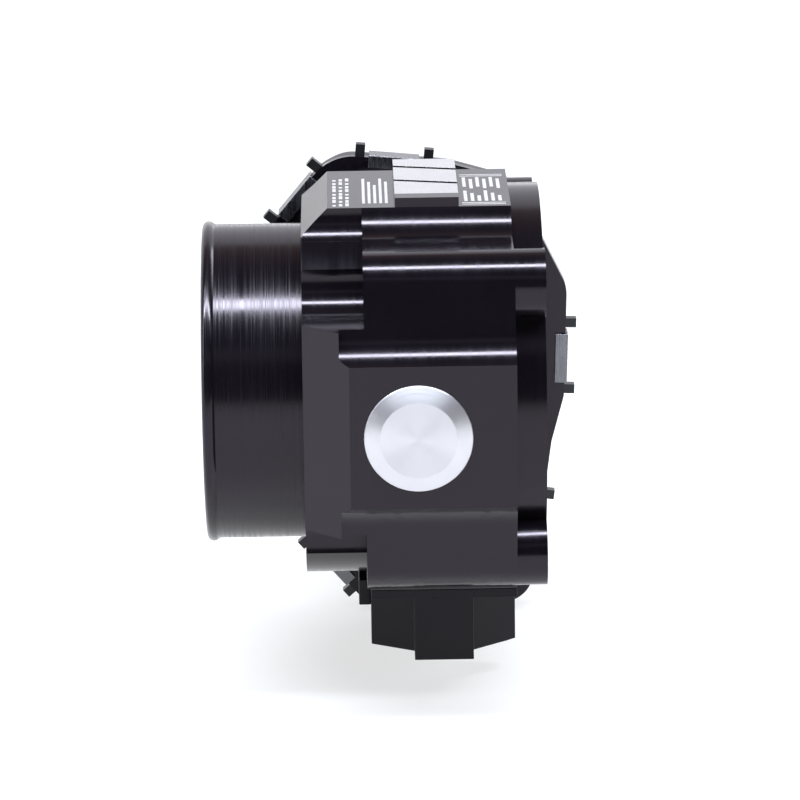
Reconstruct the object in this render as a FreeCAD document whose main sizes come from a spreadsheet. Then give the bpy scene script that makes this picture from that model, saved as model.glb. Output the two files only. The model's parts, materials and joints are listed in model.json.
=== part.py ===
"""Electronic throttle body with a 78 mm air bore: billet housing, geared motor drive and cover.

Frame: origin at the centre of the bore on the engine flange face, +X along the bore towards the
engine, +Z up, the motor drive and its cover on the +Y side. All sizes are in millimetres.
"""
import FreeCAD, Part
import math
import os
import re

import Sketcher
from FreeCAD import Matrix, Placement, Rotation, Vector

# name: (size, meaning)
DIMENSIONS = {
    "bore_radius": (39, "air bore"),
    "spigot_radius": (42, "outside of the hose spigot"),
    "bead_radius": (42.8, "bead at the end of the spigot"),
    "spigot_end": (-89.4, "x of the spigot's end"),
    "step_start": (-63, "x where the block starts"),
    "step_end": (-47, "x where the bolt bosses and the full block start"),
    "block_end": (-8, "x of the back of the engine flange"),
    "ridge_top": (52, "height of the ridge above the bore axis"),
    "ridge_half": (22.5, "half width of the ridge"),
    "ridge_chamfer": (7, "chamfer at the ridge's inlet end"),
    "valley_radius": (10.6, "hollow between the ridge and a bolt boss"),
    "boss_radius": (9, "bolt boss"),
    "bolt_y": (42.5, "bolt axes from the bore axis, across"),
    "bolt_z": (36, "bolt axes from the bore axis, up"),
    "bolt_hole_radius": (3.3, "clearance hole for a mounting bolt"),
    "boss_lean": (17, "lean of the face below a boss, degrees"),
    "hollow_radius": (10.2, "hollow above the front pad"),
    "scoop_radius": (8.7, "spanner room in front of a bolt boss"),
    "cheek_end": (-53.5, "x where the tall inlet end of the front pad stops"),
    "cheek_half": (27.4, "half height of that end"),
    "far_cheek": (53, "y where it stops on the far side"),
    "front_face": (61, "front pad from the bore axis"),
    "front_half": (18.9, "half height of the front pad"),
    "front_chamfer": (12, "chamfer at the front pad's inlet end"),
    "shoulder_radius": (8, "hollow beside the ridge's inlet end"),
    "step_radius": (51.4, "round underside of the stepped part"),
    "flange_radius": (52, "engine flange disc"),
    "pad_start": (-38.3, "x where the raised pad starts"),
    "pad_end": (-21.6, "x where the raised pad ends"),
    "pad_far": (25, "far edge of the raised pad"),
    "pad_rise": (2.5, "height of the raised pad"),
    "inlay_depth": (1, "depth of the slats in the raised pad"),
    "inlay_gap": (1.9, "gap between two slats"),
    "inlay_slant": (4.4, "slant of the gaps over the pad's width"),
    "inlay_setback": (5, "bare near end of the raised pad"),
    "shaft_x": (-33.4, "x of the throttle shaft axis"),
    "shaft_radius": (5, "throttle shaft"),
    "shaft_start": (-56.5, "near end of the throttle shaft"),
    "shaft_end": (66.6, "far end of the throttle shaft"),
    "shaft_room": (0.3, "gap round the shaft in its bore"),
    "flat_height": (3.8, "shaft flats from the shaft axis"),
    "plate_gap": (0.05, "gap between the plate's edge and the bore"),
    "plate_thickness": (2.5, "throttle plate"),
    "plate_tilt": (6, "closed plate's lean from square to the bore, degrees"),
    "screw_y": (14, "plate screws from the bore axis"),
    "bearing_radius": (9.5, "outside of a shaft bearing"),
    "bearing_width": (5, "width of a shaft bearing"),
    "race_radius": (7.2, "circle of the ball centres"),
    "ball_radius": (1.2, "bearing ball"),
    "ball_count": (9, "balls in a bearing"),
    "groove_room": (0.05, "gap between a ball and its groove"),
    "near_bearing": (-56, "y where the near bearing starts"),
    "far_bearing": (46, "y where the far bearing starts"),
    "seal_width": (3, "width of a shaft seal"),
    "seal_gap": (0.4, "gap between a bearing and its seal"),
    "lip_gap": (0.05, "gap between a seal and the shaft"),
    "plug_radius": (14, "head of the shaft end plug"),
    "plug_flat": (10, "flat of the shaft end plug"),
    "plug_edge": (0.8, "straight edge of the plug's head"),
    "plug_rise": (2.6, "height of the plug's head"),
    "plug_shank": (12, "shank of the shaft end plug"),
    "floor_back": (53.3, "y of the back of the gear case's rim"),
    "floor_top": (55.5, "y of the gear case's floor"),
    "slab_back": (49.6, "y of the back of the gear case's thick middle"),
    "rim_thickness": (3, "rim of the gear cover"),
    "cover_end": (78, "y of the gear cover's outer face"),
    "cover_bevel": (4, "bevel round the gear cover's outer face"),
    "cover_face": (76.8, "y of the gear cover's outer face inside its raised ribs"),
    "rib_width": (2, "raised rib on the gear cover"),
    "cover_wall": (2, "wall of the gear cover"),
    "rim_width": (3, "rim of the cover outside its wall"),
    "motor_x": (-26.5, "x of the motor axis"),
    "motor_z": (-56.5, "z of the motor axis"),
    "barrel_radius": (18, "outside of the motor barrel"),
    "barrel_start": (4, "y of the closed end of the motor barrel"),
    "can_radius": (15.6, "outside of the motor can"),
    "can_wall": (1.2, "wall of the motor can"),
    "can_start": (6.5, "y of the closed end of the motor can"),
    "can_end": (48, "y of the open end of the motor can"),
    "motor_shaft_radius": (1.6, "motor shaft"),
    "idler_x": (-45.78, "x of the intermediate gear's axis"),
    "idler_z": (-32.74, "z of the intermediate gear's axis"),
    "idler_pin_radius": (3, "pin of the intermediate gear"),
    "running_gap": (0.03, "gap of the intermediate gear on its pin"),
    "slow_module": (1.25, "module of the sector pair"),
    "sector_teeth": (43, "teeth of a full circle of the sector"),
    "idler_small_teeth": (13, "teeth of the small intermediate gear"),
    "fast_module": (0.9, "module of the pinion pair"),
    "idler_large_teeth": (56, "teeth of the large intermediate gear"),
    "pinion_teeth": (12, "teeth of the motor pinion"),
    "backlash": (0.16, "tooth thinning at the pitch circle"),
    "sector_start": (61.5, "y where the sector's teeth start"),
    "sector_end": (66.5, "y where the sector's teeth end"),
    "large_start": (67.3, "y where the large gear starts"),
    "large_end": (70.8, "y where the large gear ends"),
    "connector_top": (-53, "z of the connector's top"),
    "connector_bottom": (-73, "z of the connector's mouth"),
    "collar_bottom": (-55.6, "z of the underside of the connector's collar"),
    "pin_width": (0.8, "connector blade"),
}

# x, z corners of the gear case's rim, clockwise seen from the near side
CASE_CORNERS = [(-55, 50), (-22, 46.9), (-5, 42), (10, 11.5), (9, -20), (5.5, -33), (-1, -80),
                (-46.5, -80), (-80, -41.5), (-80, 20)]
CASE_ROUNDS = [14, 8, 10, 10, 6, 8, 9, 10, 12, 8]
# side of the rim (by its first corner) and how far along it each clip sits
CLIP_PLACES = [(0, 0.53), (3, 0.65), (5, 0.54), (6, 0.5), (7, 0.305), (8, 0.5), (9, 0.61)]

ALONG = Vector(0, 1, 0)
TURNS = {"X": Rotation(Vector(0, 1, 0), 90), "Y": Rotation(Vector(1, 0, 0), -90), "Z": Rotation()}
LINES = {"X": Vector(1, 0, 0), "Y": Vector(0, 1, 0), "Z": Vector(0, 0, 1)}
# A flat outline's own x and y lie along row Y and Z, X and Z, or X and Y
FLATS = {"X": Rotation(Vector(1, 1, 1), 120), "Y": Rotation(Vector(1, 0, 0), 90), "Z": Rotation()}
# A turned body's own x axis lies along this row axis
SPINS = {"X": Rotation(), "Y": Rotation(Vector(0, 0, 1), 90), "Z": Rotation(Vector(0, 1, 0), -90)}
WORD = re.compile(r"[a-z][a-z_0-9]*")

doc = FreeCAD.newDocument("throttle_body")
dims = doc.addObject("Spreadsheet::Sheet", "Dims")
nodes = []


def fill_sheet():
    """Write every driving dimension and its meaning into the sheet."""
    for row, (name, (size, meaning)) in enumerate(DIMENSIONS.items(), start=1):
        dims.set(f"A{row}", meaning)
        dims.set(f"B{row}", str(size))
        dims.setAlias(f"B{row}", name)
    doc.recompute()


def link(text):
    """Expression text in which each dimension's name points at its cell."""
    return WORD.sub(lambda word: ("Dims." if word.group() in DIMENSIONS else "") + word.group(), text)


def number(text):
    """Present value of an expression of dimensions."""
    return float(dims.evalExpression(link(text)))


def bind(item, **sizes):
    """Tie properties of an object to expressions of dimensions."""
    for name, text in sizes.items():
        item.setExpression(name, link(text))


def place(item, spot, turn):
    """Turn an object and tie its base point to three expressions."""
    item.Placement = Placement(Vector(), turn)
    for way, text in zip("xyz", spot):
        item.setExpression("Placement.Base." + way, link(text))


def along(axis, across, start):
    """Base point with start on the axis and the other two values beside it."""
    spot = list(across)
    spot.insert("XYZ".index(axis), start)
    return spot


def rod(name, radius, start, end, axis="Y", at=("shaft_x", "0")):
    """Round bar from start to end along a row axis."""
    item = doc.addObject("Part::Cylinder", name)
    bind(item, Radius=radius, Height=f"({end}) - ({start})")
    place(item, along(axis, at, start), TURNS[axis])
    return item


def block(name, low, high):
    """Upright box between two corners."""
    item = doc.addObject("Part::Box", name)
    sizes = [f"({top}) - ({base})" for base, top in zip(low, high)]
    bind(item, Length=sizes[0], Width=sizes[1], Height=sizes[2])
    place(item, low, Rotation())
    return item


def fuse(name, *pieces):
    """One solid of several that overlap."""
    item = doc.addObject("Part::MultiFuse", name)
    item.Shapes = list(pieces)
    return item


def group(name, *pieces):
    """Separate solids that share a node."""
    item = doc.addObject("Part::Compound", name)
    item.Links = list(pieces)
    return item


def cut(name, base, *tools):
    """The base less its tools."""
    item = doc.addObject("Part::Cut", name)
    item.Base = base
    item.Tool = tools[0] if len(tools) == 1 else group(name + "_tools", *tools)
    return item


def common(name, *pieces):
    """What all the pieces share."""
    item = doc.addObject("Part::MultiCommon", name)
    item.Shapes = list(pieces)
    return item


def ring(name, outer, inner, start, end, axis="Y", at=("shaft_x", "0")):
    """Round bar with a hole through it."""
    bar = rod(name + "_bar", outer, start, end, axis, at)
    hole = rod(name + "_hole", inner, f"({start}) - 1", f"({end}) + 1", axis, at)
    return cut(name, bar, hole)


def node(item, label=None):
    """Register an object as a sub-part of its own."""
    item.Label = label or item.Name
    nodes.append(item)
    return item


def origin_part(body, role):
    """Origin plane or axis of a body."""
    return next(part for part in body.Origin.OriginFeatures if part.Role == role)


def sketch_outline(body, name, corners):
    """Closed outline on the body's XY plane, with every corner tied to expressions."""
    sketch = body.newObject("Sketcher::SketchObject", name)
    sketch.AttachmentSupport = (origin_part(body, "XY_Plane"), [""])
    sketch.MapMode = "FlatFace"
    spots = [Vector(number(first), number(second), 0) for first, second in corners]
    sketch.addGeometry([Part.LineSegment(*pair) for pair in zip(spots, spots[1:] + spots[:1])])
    count = len(corners)
    sketch.addConstraint([Sketcher.Constraint("Coincident", k, 2, (k + 1) % count, 1)
                          for k in range(count)])
    for k, texts in enumerate(corners):
        for kind, text in zip(("DistanceX", "DistanceY"), texts):
            place_in_list = sketch.addConstraint(Sketcher.Constraint(kind, -1, 1, k, 1, number(text)))
            sketch.setExpression(f"Constraints[{place_in_list}]", link(text))
    return sketch


def turned(name, corners, axis="Y", at=("shaft_x", "0")):
    """Body of revolution from (place along the axis, radius) corners."""
    body = doc.addObject("PartDesign::Body", name)
    profile = sketch_outline(body, name + "_profile", corners)
    turn = body.newObject("PartDesign::Revolution", name + "_turn")
    turn.Profile = profile
    turn.ReferenceAxis = (origin_part(body, "X_Axis"), [""])
    turn.Angle = 360
    place(body, along(axis, at, "0"), SPINS[axis])
    return body


def padded(name, corners, start, end, axis):
    """Body padded from start to end along a row axis from the corners of its flat outline."""
    body = doc.addObject("PartDesign::Body", name)
    profile = sketch_outline(body, name + "_profile", corners)
    pad = body.newObject("PartDesign::Pad", name + "_pad")
    pad.Profile = profile
    pad.Reversed = axis == "Y"
    bind(pad, Length=f"({end}) - ({start})")
    place(body, along(axis, ("0", "0"), start), FLATS[axis])
    return body


def extruded(name, face, start, end, axis="Y", at=("0", "0"), taper=0):
    """Solid from a flat face, drawn in its own plane, between start and end along a row axis."""
    profile = doc.addObject("Part::Feature", name + "_face")
    profile.Shape = face
    place(profile, along(axis, at, start), FLATS[axis])
    item = doc.addObject("Part::Extrusion", name)
    item.Base = profile
    item.DirMode = "Custom"
    item.Dir = LINES[axis]
    item.Solid = True
    item.TaperAngle = taper
    bind(item, LengthFwd=f"({end}) - ({start})")
    return item


def polar(radius, degrees, centre=Vector()):
    """Point of a flat outline by radius and angle."""
    angle = math.radians(degrees)
    return centre + Vector(radius * math.cos(angle), radius * math.sin(angle), 0)


def arc(centre, radius, first, last):
    """Edge of a circle from one angle to another, in degrees."""
    spots = [polar(radius, angle, centre) for angle in (first, (first + last) / 2, last)]
    return Part.Arc(*spots).toShape()


def line(first, last):
    """Straight edge."""
    return Part.LineSegment(first, last).toShape()


def closed_face(edges):
    """Face bounded by edges in any order."""
    return Part.Face(Part.Wire(Part.__sortEdges__(edges)))


def rounded_face(corners, rounds):
    """Face of a polygon with a tangent arc at each corner."""
    spots = [Vector(first, second, 0) for first, second in corners]
    ends, edges = [], []
    for k, (spot, radius) in enumerate(zip(spots, rounds)):
        back = (spots[k - 1] - spot).normalize()
        ahead = (spots[(k + 1) % len(spots)] - spot).normalize()
        half = back.getAngle(ahead) / 2
        middle = (back + ahead).normalize()
        centre = spot + middle * (radius / math.sin(half))
        reach = radius / math.tan(half)
        start, end = spot + back * reach, spot + ahead * reach
        edges.append(Part.Arc(start, centre - middle * radius, end).toShape())
        ends.append((start, end))
    for k, (start, _) in enumerate(ends):
        edges.append(line(ends[k - 1][1], start))
    return closed_face(edges)


# ---------------------------------------------------------------- housing

def quarter_section():
    """Edges of the block's outline from its top centre to its front centre, as (y, z) points."""
    boss = Vector(-number("bolt_y"), number("bolt_z"), 0)
    boss_radius = number("boss_radius")
    ridge = Vector(-number("ridge_half"), number("ridge_top"), 0)
    valley = number("valley_radius")
    boss_top = boss.y + boss_radius
    drop = boss_top + valley - ridge.y
    valley_centre = Vector(ridge.x - math.sqrt(valley ** 2 - drop ** 2), boss_top + valley, 0)
    lean = number("boss_lean")
    away = polar(1, 180 - lean)
    down = polar(1, 270 - lean)
    hollow = number("hollow_radius")
    corner = Vector(-number("front_face"), number("front_half"), 0)
    start = boss + away * (boss_radius + hollow)
    offset = start - corner
    half_b = offset.dot(down)
    run = -half_b - math.sqrt(half_b ** 2 - offset.dot(offset) + hollow ** 2)
    hollow_centre = start + down * run
    leave = math.degrees(math.atan2(*reversed((corner - hollow_centre)[:2])))
    first = math.degrees(math.atan2(*reversed((ridge - valley_centre)[:2])))
    return [
        line(Vector(0, ridge.y, 0), ridge),
        arc(valley_centre, valley, first, -90),
        line(Vector(valley_centre.x, boss_top, 0), Vector(boss.x, boss_top, 0)),
        arc(boss, boss_radius, 90, 180 - lean),
        line(boss + away * boss_radius, hollow_centre - away * hollow),
        arc(hollow_centre, hollow, -lean, leave),
        line(corner, Vector(corner.x, 0, 0)),
    ]


def section_face():
    """The block's outline across the bore, the same above and below, near and far."""
    quarter = quarter_section()
    flip_z, flip_y = Matrix(), Matrix()
    flip_z.scale(1, -1, 1)
    flip_y.scale(-1, 1, 1)
    half = quarter + [edge.transformGeometry(flip_z) for edge in quarter]
    return closed_face(half + [edge.transformGeometry(flip_y) for edge in half])


def bolt_rods(name, radius, start, end):
    """One rod on each of the four bolt axes."""
    return [rod(f"{name}_{k}", radius, start, end, "X", (f"{y} * bolt_y", f"{z} * bolt_z"))
            for k, (y, z) in enumerate([(-1, 1), (1, 1), (1, -1), (-1, -1)])]


def chamfered_end(name, reach, size, axis):
    """Wedge that bevels the inlet end of a block whose outer face is at a given reach."""
    sign = "-" if axis == "Z" else ""
    return padded(name, [
        ("step_start - 1", f"{sign}({reach} - {size} - 1)"),
        (f"step_start + {size} + 1", f"{sign}({reach} + 1)"),
        ("step_start - 1", f"{sign}({reach} + 1)")], "-bolt_y", "bolt_y", axis)


def shoulder_web(name, side):
    """Hollow web between the ridge's inlet end and the round part below it."""
    thickness = "shoulder_radius / 2 + 1"
    web = block(name + "_block",
                ("step_start", f"{side} * (ridge_half - 1 + ({thickness}) / 2) - ({thickness}) / 2",
                 "ridge_top - shoulder_radius"),
                ("step_end", f"{side} * (ridge_half - 1 + ({thickness}) / 2) + ({thickness}) / 2",
                 "ridge_top - 1"))
    hollow = rod(name + "_hollow", "shoulder_radius", "step_start - 1", "step_end + 1", "X",
                 (f"{side} * (ridge_half + shoulder_radius)", "ridge_top - 1"))
    return cut(name, web, hollow)


def stepped_part():
    """Inlet end of the block: round, scooped out in front of the bosses, with ridge and pad run in."""
    belly = rod("step_belly", "step_radius", "step_start", "step_end", "X", ("0", "0"))
    ridge = block("step_ridge", ("step_start", "-ridge_half", "0"), ("step_end", "ridge_half", "ridge_top"))
    webs = [shoulder_web("near_shoulder", "-1"), shoulder_web("far_shoulder", "1")]
    scooped = cut("step_scooped", fuse("step_round", belly, ridge, *webs),
                  *bolt_rods("scoop", "scoop_radius", "step_start - 1", "step_end"))
    cheek = block("step_cheek", ("step_start", "-front_face", "-cheek_half"),
                  ("cheek_end", "far_cheek", "cheek_half"))
    pad_run = common("step_pad_run",
                     extruded("step_section", section_face(), "cheek_end - 0.01", "step_end + 0.01", "X"),
                     block("step_pad_limit", ("cheek_end - 1", "-front_face - 1", "-cheek_half"),
                           ("step_end + 1", "front_face + 1", "cheek_half")))
    return cut("stepped_part", fuse("step_blank", scooped, cheek, pad_run),
               chamfered_end("ridge_end", "ridge_top", "ridge_chamfer", "Y"),
               chamfered_end("front_end", "front_face", "front_chamfer", "Z"))


def case_face(inset=0):
    """Outline of the gear case, drawn in by an inset."""
    face = rounded_face(CASE_CORNERS, CASE_ROUNDS)
    return face.makeOffset2D(-inset) if inset else face


def stop_spot(radius, degrees):
    """x and z of a point beside the throttle shaft, by radius and angle."""
    spot = polar(radius, degrees, Vector(number("shaft_x"), 0, 0))
    return str(spot.x), str(spot.y)


STOP_RADIUS, STOP_ANGLE, STOP_POST_RUN, STOP_GAP = 21, 66, 7, 0.3
# the spigot's bead: distance from the end and drop below its crown
BEAD_SWELL = [(0, 1.6), (0.15, 1), (0.5, 0.45), (1, 0.12), (1.6, 0), (2.2, 0.1), (2.8, 0.4)]


def housing_blank():
    """Everything of the housing before it is bored."""
    swell = [(f"spigot_end + {reach}", f"bead_radius - {drop}") for reach, drop in BEAD_SWELL]
    spigot = turned("spigot", [("spigot_end", "0"), *swell, ("spigot_end + 3.3", "spigot_radius"),
                               ("0", "spigot_radius"), ("0", "0")], "X", ("0", "0"))
    main = extruded("main_block", section_face(), "step_end - 0.01", "block_end + 0.01", "X")
    disc = rod("flange_disc", "flange_radius", "block_end", "0", "X", ("0", "0"))
    bosses = bolt_rods("boss", "boss_radius", "step_end", "0")
    pad = block("raised_pad", ("pad_start", "-ridge_half", "ridge_top - 1"),
                ("pad_end", "pad_far", "ridge_top + pad_rise"))
    far_boss = rod("far_boss", "barrel_radius", "bore_radius - 5", "floor_top")
    rim = extruded("case_rim", case_face(), "floor_back", "floor_top")
    slab = extruded("case_slab", case_face(10), "slab_back", "floor_top")
    barrel = rod("motor_barrel", "barrel_radius", "barrel_start", "floor_top",
                 at=("motor_x", "motor_z"))
    pin_boss = rod("idler_boss", "2.3 * idler_pin_radius", "slab_back - 5", "floor_top",
                   at=("idler_x", "idler_z"))
    post = rod("stop_post", "3.4", "floor_top - 1", "sector_end",
               at=stop_spot(math.hypot(STOP_RADIUS, STOP_POST_RUN),
                            STOP_ANGLE + math.degrees(math.atan2(STOP_POST_RUN, STOP_RADIUS))))
    whole = fuse("housing_blank", spigot, stepped_part(), main, disc, *bosses, pad, far_boss, rim,
                 slab, barrel, pin_boss, post)
    beyond = block("beyond_floor", ("step_start", "floor_top", "-front_half"),
                   ("block_end", "front_face + 1", "front_half"))
    return cut("housing_trimmed", whole, beyond), post


def shaft_seats():
    """Holes along the throttle shaft: shaft room, seals, bearings and the plug's shank."""
    return [
        rod("shaft_room_hole", "shaft_radius + shaft_room", "near_bearing", "floor_top + 1"),
        rod("near_seat", "bearing_radius", "-front_face - 1",
            "near_bearing + bearing_width + seal_gap + seal_width"),
        rod("far_seat", "bearing_radius", "far_bearing - seal_gap - seal_width", "floor_top + 1"),
        rod("plug_seat", "plug_shank", "-front_face - 1", "near_bearing - 0.8"),
    ]


CONNECTOR_SCREWS = [("-41", "-2"), ("-12", "-1.3")]
RETAINER_SCREWS = (30, 150)


def throttle_housing():
    """Billet housing: spigot, block, engine flange, motor barrel and gear case floor."""
    blank, post = housing_blank()
    bore = turned("air_bore", [
        ("spigot_end - 1", "0"), ("spigot_end - 1", "bore_radius + 2"),
        ("spigot_end + 2", "bore_radius"), ("1", "bore_radius"), ("1", "0")], "X", ("0", "0"))
    ring_groove = ring("ring_groove", "47.2", "44.2", "-2.2", "1", "X", ("0", "0"))
    gasket_groove = extruded("gasket_groove", case_face(1.8).cut(case_face(3.6)),
                             "floor_top - 1.3", "floor_top + 1")
    motor_hole = rod("motor_hole", "can_radius", "can_start - 0.2", "floor_top + 1",
                     at=("motor_x", "motor_z"))
    pin_hole = rod("idler_pin_hole", "idler_pin_radius", "slab_back - 2", "floor_top + 1",
                   at=("idler_x", "idler_z"))
    lead_slot = block("lead_slot", ("-49.5", "slab_back - 1", "-63.5"),
                      ("-45.9", "floor_top + 1", "-55.7"))
    screw_holes = [rod(f"connector_screw_hole_{k}", "1.6", "-ridge_top - 1", "-43", "Z", at)
                   for k, at in enumerate(CONNECTOR_SCREWS)]
    retainer_holes = [rod(f"retainer_hole_{k}", "1.25", "floor_top - 5", "floor_top + 1",
                          at=retainer_spot(angle)) for k, angle in enumerate(RETAINER_SCREWS)]
    inlay_seat = block("inlay_seat",
                       ("pad_start - 1", "inlay_setback - ridge_half", "ridge_top + pad_rise - inlay_depth"),
                       ("pad_end + 1", "pad_far + 1", "ridge_top + pad_rise + 1"))
    stop_thread = stop_bar("stop_thread", 1.5, STOP_GAP, 12)
    return node(cut("throttle_housing", blank, bore, ring_groove, gasket_groove, motor_hole, pin_hole,
                    lead_slot, inlay_seat, stop_thread, *shaft_seats(), *screw_holes, *retainer_holes,
                    *bolt_rods("bolt_hole", "bolt_hole_radius", "step_end - 1", "1")))


def retainer_spot(degrees):
    """x and z of a motor retainer screw."""
    spot = polar(20.5, degrees, Vector(number("motor_x"), number("motor_z"), 0))
    return str(spot.x), str(spot.y)


def stop_bar(name, radius, gap, length):
    """Round bar square to the stop lug's face, a gap away from it."""
    item = doc.addObject("Part::Cylinder", name)
    item.Radius = radius
    item.Height = length
    lug = polar(STOP_RADIUS, STOP_ANGLE, Vector(number("shaft_x"), 0, 0))
    way = polar(1, STOP_ANGLE + 90)
    base = Vector(lug.x + gap * way.x, (number("sector_start") + number("sector_end")) / 2,
                  lug.y + gap * way.y)
    item.Placement = Placement(base, Rotation(Vector(0, 0, 1), Vector(way.x, 0, way.y)))
    return item


# ---------------------------------------------------------------- trim and seals

def pad_inlay_strips():
    """Bright slats on the raised pad, parted by two slanting gaps."""
    base, top = "ridge_top + pad_rise - inlay_depth", "ridge_top + pad_rise"
    near = "inlay_setback - ridge_half"
    edges = [(near, near)]
    for share in ("0.36", "0.76"):
        middle = f"{near} + (pad_far - ({near})) * {share}"
        edges.append((f"{middle} + inlay_slant / 2", f"{middle} - inlay_slant / 2"))
    edges.append(("pad_far", "pad_far"))
    slats = []
    for k, (low, high) in enumerate(zip(edges, edges[1:])):
        gap = "inlay_gap" if k < len(edges) - 2 else "0"
        slats.append(padded(f"slat_{k}", [
            ("pad_start", low[0]), ("pad_end", low[1]),
            ("pad_end", f"{high[1]} - {gap}"), ("pad_start", f"{high[0]} - {gap}")], base, top, "Z"))
    node(group("pad_inlay_strips", *slats))


def shaft_end_plug():
    """Turned aluminium plug pressed in over the near end of the shaft."""
    node(turned("shaft_end_plug", [
        ("near_bearing - 1", "0"), ("near_bearing - 1", "plug_shank"),
        ("-front_face", "plug_shank"), ("-front_face", "plug_radius"),
        ("-front_face - plug_edge", "plug_radius"), ("-front_face - plug_rise", "plug_flat"),
        ("-front_face - plug_rise", "0")]))


def flange_o_ring():
    """Ring in the groove of the engine flange, level with its face."""
    node(ring("flange_o_ring", "47.2", "44.2", "-2.2", "-0.02", "X", ("0", "0")))


def cover_gasket():
    """Moulded gasket in the groove of the gear case's rim."""
    node(extruded("cover_gasket", case_face(1.8).cut(case_face(3.6)), "floor_top - 1.3", "floor_top"))


# ---------------------------------------------------------------- throttle shaft group

def bearing(side, start):
    """Ball bearing: outer ring, inner ring and balls."""
    end = f"{start} + bearing_width"
    middle = f"{start} + bearing_width / 2"
    race = doc.addObject("Part::Torus", side + "_race")
    bind(race, Radius1="race_radius", Radius2="ball_radius + groove_room")
    place(race, ("shaft_x", middle, "0"), TURNS["Y"])
    outer = ring(side + "_outer_blank", "bearing_radius", "race_radius + 0.8", start, end)
    inner = ring(side + "_inner_blank", "race_radius - 0.8", "shaft_radius", start, end)
    node(cut(side + "_bearing_outer_ring", outer, race))
    node(cut(side + "_bearing_inner_ring", inner, race))
    count = int(number("ball_count"))
    balls = []
    for k in range(count):
        ball = doc.addObject("Part::Sphere", f"{side}_ball_{k}")
        bind(ball, Radius="ball_radius")
        turn = f"{360 * k / count} deg"
        place(ball, (f"shaft_x + race_radius * cos({turn})", middle, f"race_radius * sin({turn})"),
              Rotation())
        balls.append(ball)
    node(group(side + "_bearing_balls", *balls))


def shaft_seal(side, start):
    """Rubber seal between a bearing and the air bore."""
    node(ring(side + "_shaft_seal", "bearing_radius", "shaft_radius + lip_gap", start,
              f"{start} + seal_width"))


def tilted(item):
    """Lean a piece with the closed plate, about the shaft axis."""
    lean = Rotation(Vector(0, 1, 0), number("plate_tilt"))
    centre = Vector(number("shaft_x"), 0, 0)
    turned_item = doc.addObject("Part::Feature", item.Name + "_tilted")
    turned_item.Shape = item.Shape.copy()
    turned_item.Placement = Placement(Vector(), lean, centre).multiply(turned_item.Placement)
    return turned_item


def tilted_block(name, low, high):
    """Box drawn upright and then leaned with the plate."""
    item = block(name, low, high)
    doc.recompute()
    return tilted(item)


def tilted_rod(name, radius, start, end, at):
    """Rod along x, drawn level and then leaned with the plate."""
    item = rod(name, radius, start, end, "X", at)
    doc.recompute()
    return tilted(item)


def throttle_shaft():
    """Steel shaft with two flats and a slot for the plate."""
    bar = rod("shaft_bar", "shaft_radius", "shaft_start", "shaft_end")
    reach = "bore_radius - 1.5"
    slot = tilted_block("plate_slot", ("shaft_x - plate_thickness / 2", "-bore_radius", "-10"),
                        ("shaft_x + plate_thickness / 2", "bore_radius", "10"))
    flats = [tilted_block(f"shaft_flat_{k}", (low, f"-({reach})", "-10"), (high, reach, "10"))
             for k, (low, high) in enumerate([("shaft_x - 9", "shaft_x - flat_height"),
                                              ("shaft_x + flat_height", "shaft_x + 9")])]
    holes = [tilted_rod(f"shaft_screw_hole_{k}", "2", "shaft_x - 9", "shaft_x + 9",
                        (f"{side} * screw_y", "0")) for k, side in enumerate((-1, 1))]
    node(cut("throttle_shaft", bar, slot, *flats, *holes))


def throttle_plate():
    """Disc that closes the bore at a small lean, its edge shaped to the bore."""
    reach = "bore_radius + 5"
    slab = tilted_block("plate_slab", ("shaft_x - plate_thickness / 2", f"-({reach})", f"-({reach})"),
                        ("shaft_x + plate_thickness / 2", reach, reach))
    column = rod("plate_column", "bore_radius - plate_gap", "shaft_x - 20", "shaft_x + 20", "X",
                 ("0", "0"))
    holes = [tilted_rod(f"plate_screw_hole_{k}", "2", "shaft_x - 9", "shaft_x + 9",
                        (f"{side} * screw_y", "0")) for k, side in enumerate((-1, 1))]
    node(cut("throttle_plate", common("plate_disc", slab, column), *holes))


def plate_screws():
    """Two screws through the shaft and the plate."""
    screws = []
    for k, side in enumerate((-1, 1)):
        at = (f"{side} * screw_y", "0")
        shank = tilted_rod(f"plate_screw_shank_{k}", "2", "shaft_x - flat_height - 0.5",
                           "shaft_x + flat_height + 0.8", at)
        head = tilted_rod(f"plate_screw_head_{k}", "3.5", "shaft_x - flat_height - 2",
                          "shaft_x - flat_height", at)
        drive = tilted_rod(f"plate_screw_drive_{k}", "1.3", "shaft_x - flat_height - 3",
                           "shaft_x - flat_height - 1", at)
        screws.append(cut(f"plate_screw_{k}", fuse(f"plate_screw_blank_{k}", shank, head), drive))
    node(group("plate_screws", *screws))


# ---------------------------------------------------------------- gear train

PRESSURE_ANGLE, ADDENDUM, DEDENDUM = math.radians(25), 0.9, 1.15


def involute(angle):
    """Involute function of a pressure angle."""
    return math.tan(angle) - angle


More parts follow.
